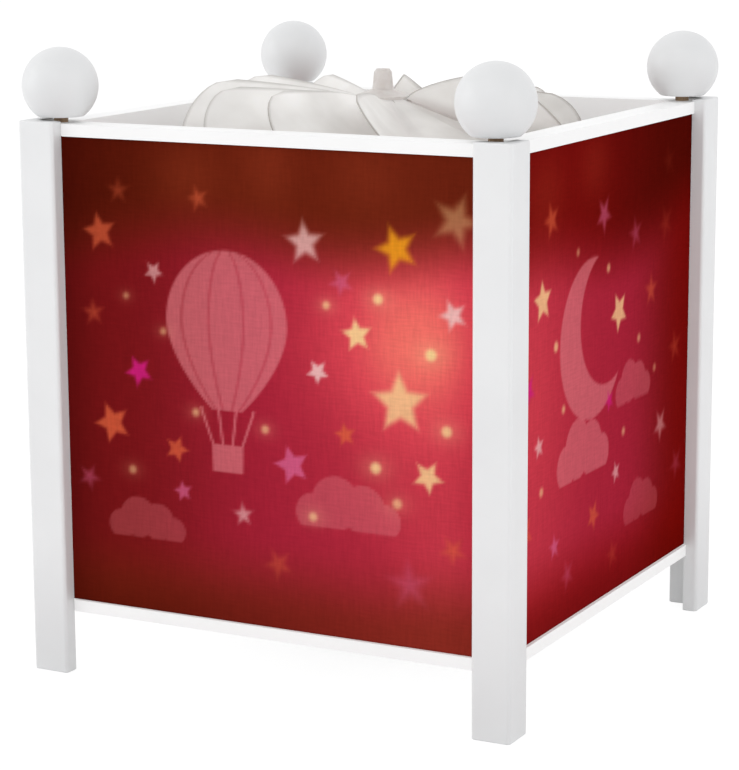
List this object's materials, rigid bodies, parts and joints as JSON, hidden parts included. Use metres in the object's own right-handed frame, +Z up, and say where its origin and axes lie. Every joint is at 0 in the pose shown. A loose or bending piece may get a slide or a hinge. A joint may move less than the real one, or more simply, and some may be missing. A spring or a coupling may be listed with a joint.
{
  "type": "rotating motion lamp",
  "caption": "Square wooden lantern with translucent printed sides round a film cylinder, which a film turbine over the bulb turns on a needle.",
  "frame": {"origin": "on the table, under the middle of the lamp", "axes": "+Z up along the axis the cylinder turns about; the front faces -Y, and +X is to its right"},
  "size_m": [0.1694, 0.1694, 0.1955],
  "materials": {
    "white_paint": "white satin paint on wood",
    "beech": "bare beech",
    "printed_film": "translucent print, crimson with pale stars",
    "white_plastic": "moulded white plastic",
    "screw_steel": "zinc plated",
    "black_rubber": "matt rubber",
    "terminal_plastic": "translucent white nylon",
    "lead_sleeving": "brown sleeving",
    "lampholder_plastic": "ivory thermoset",
    "brass": "turned brass",
    "cap_metal": "rolled thread",
    "bulb_glass": "clear glass",
    "filament_wire": "drawn wire on a glass stem",
    "spring_wire": "bright drawn wire",
    "needle_steel": "polished steel",
    "drum_film": "translucent print",
    "rotor_card": "thin white plastic",
    "vane_film": "translucent film",
    "clear_plastic": "clear plastic, slightly grey"
  },
  "bodies": {
    "case": {"corner_post_front_left": "white_paint", "corner_post_front_right": "white_paint", "corner_post_back_right": "white_paint", "corner_post_back_left": "white_paint", "corner_ball_front_left": "white_paint", "corner_ball_front_right": "white_paint", "corner_ball_back_right": "white_paint", "corner_ball_back_left": "white_paint", "ball_dowels": "beech", "top_rail_front": "white_paint", "top_rail_right": "white_paint", "top_rail_back": "white_paint", "top_rail_left": "white_paint", "base_board": "white_paint", "printed_sheet_front": "printed_film", "printed_sheet_right": "printed_film", "printed_sheet_back": "printed_film", "printed_sheet_left": "printed_film", "wiring_cover": "white_plastic", "cover_screws": "screw_steel", "cord_gland": "black_rubber", "terminal_block": "terminal_plastic", "lampholder_leads": "lead_sleeving", "lampholder_body": "lampholder_plastic", "lampholder_sleeve": "brass", "lampholder_contact": "brass", "lampholder_screws": "screw_steel", "bulb_cap": "cap_metal", "bulb_glass": "bulb_glass", "bulb_filament": "filament_wire", "pivot_wire": "spring_wire", "pivot_needle": "needle_steel", "pivot_nuts": "screw_steel"},
    "rotor": {"film_cylinder": "drum_film", "cylinder_hoop": "rotor_card", "turbine_collar": "rotor_card", "turbine_vanes": "vane_film", "hub_cap": "clear_plastic", "hub_seat": "clear_plastic", "bearing_cup": "brass"}
  },
  "joints": [
    {"name": "rotor_spin", "type": "hinge", "parent": "case", "child": "rotor", "pos_m": [0, 0, 0.17], "axis": [0, 0, 1], "continuous": true}
  ]
}
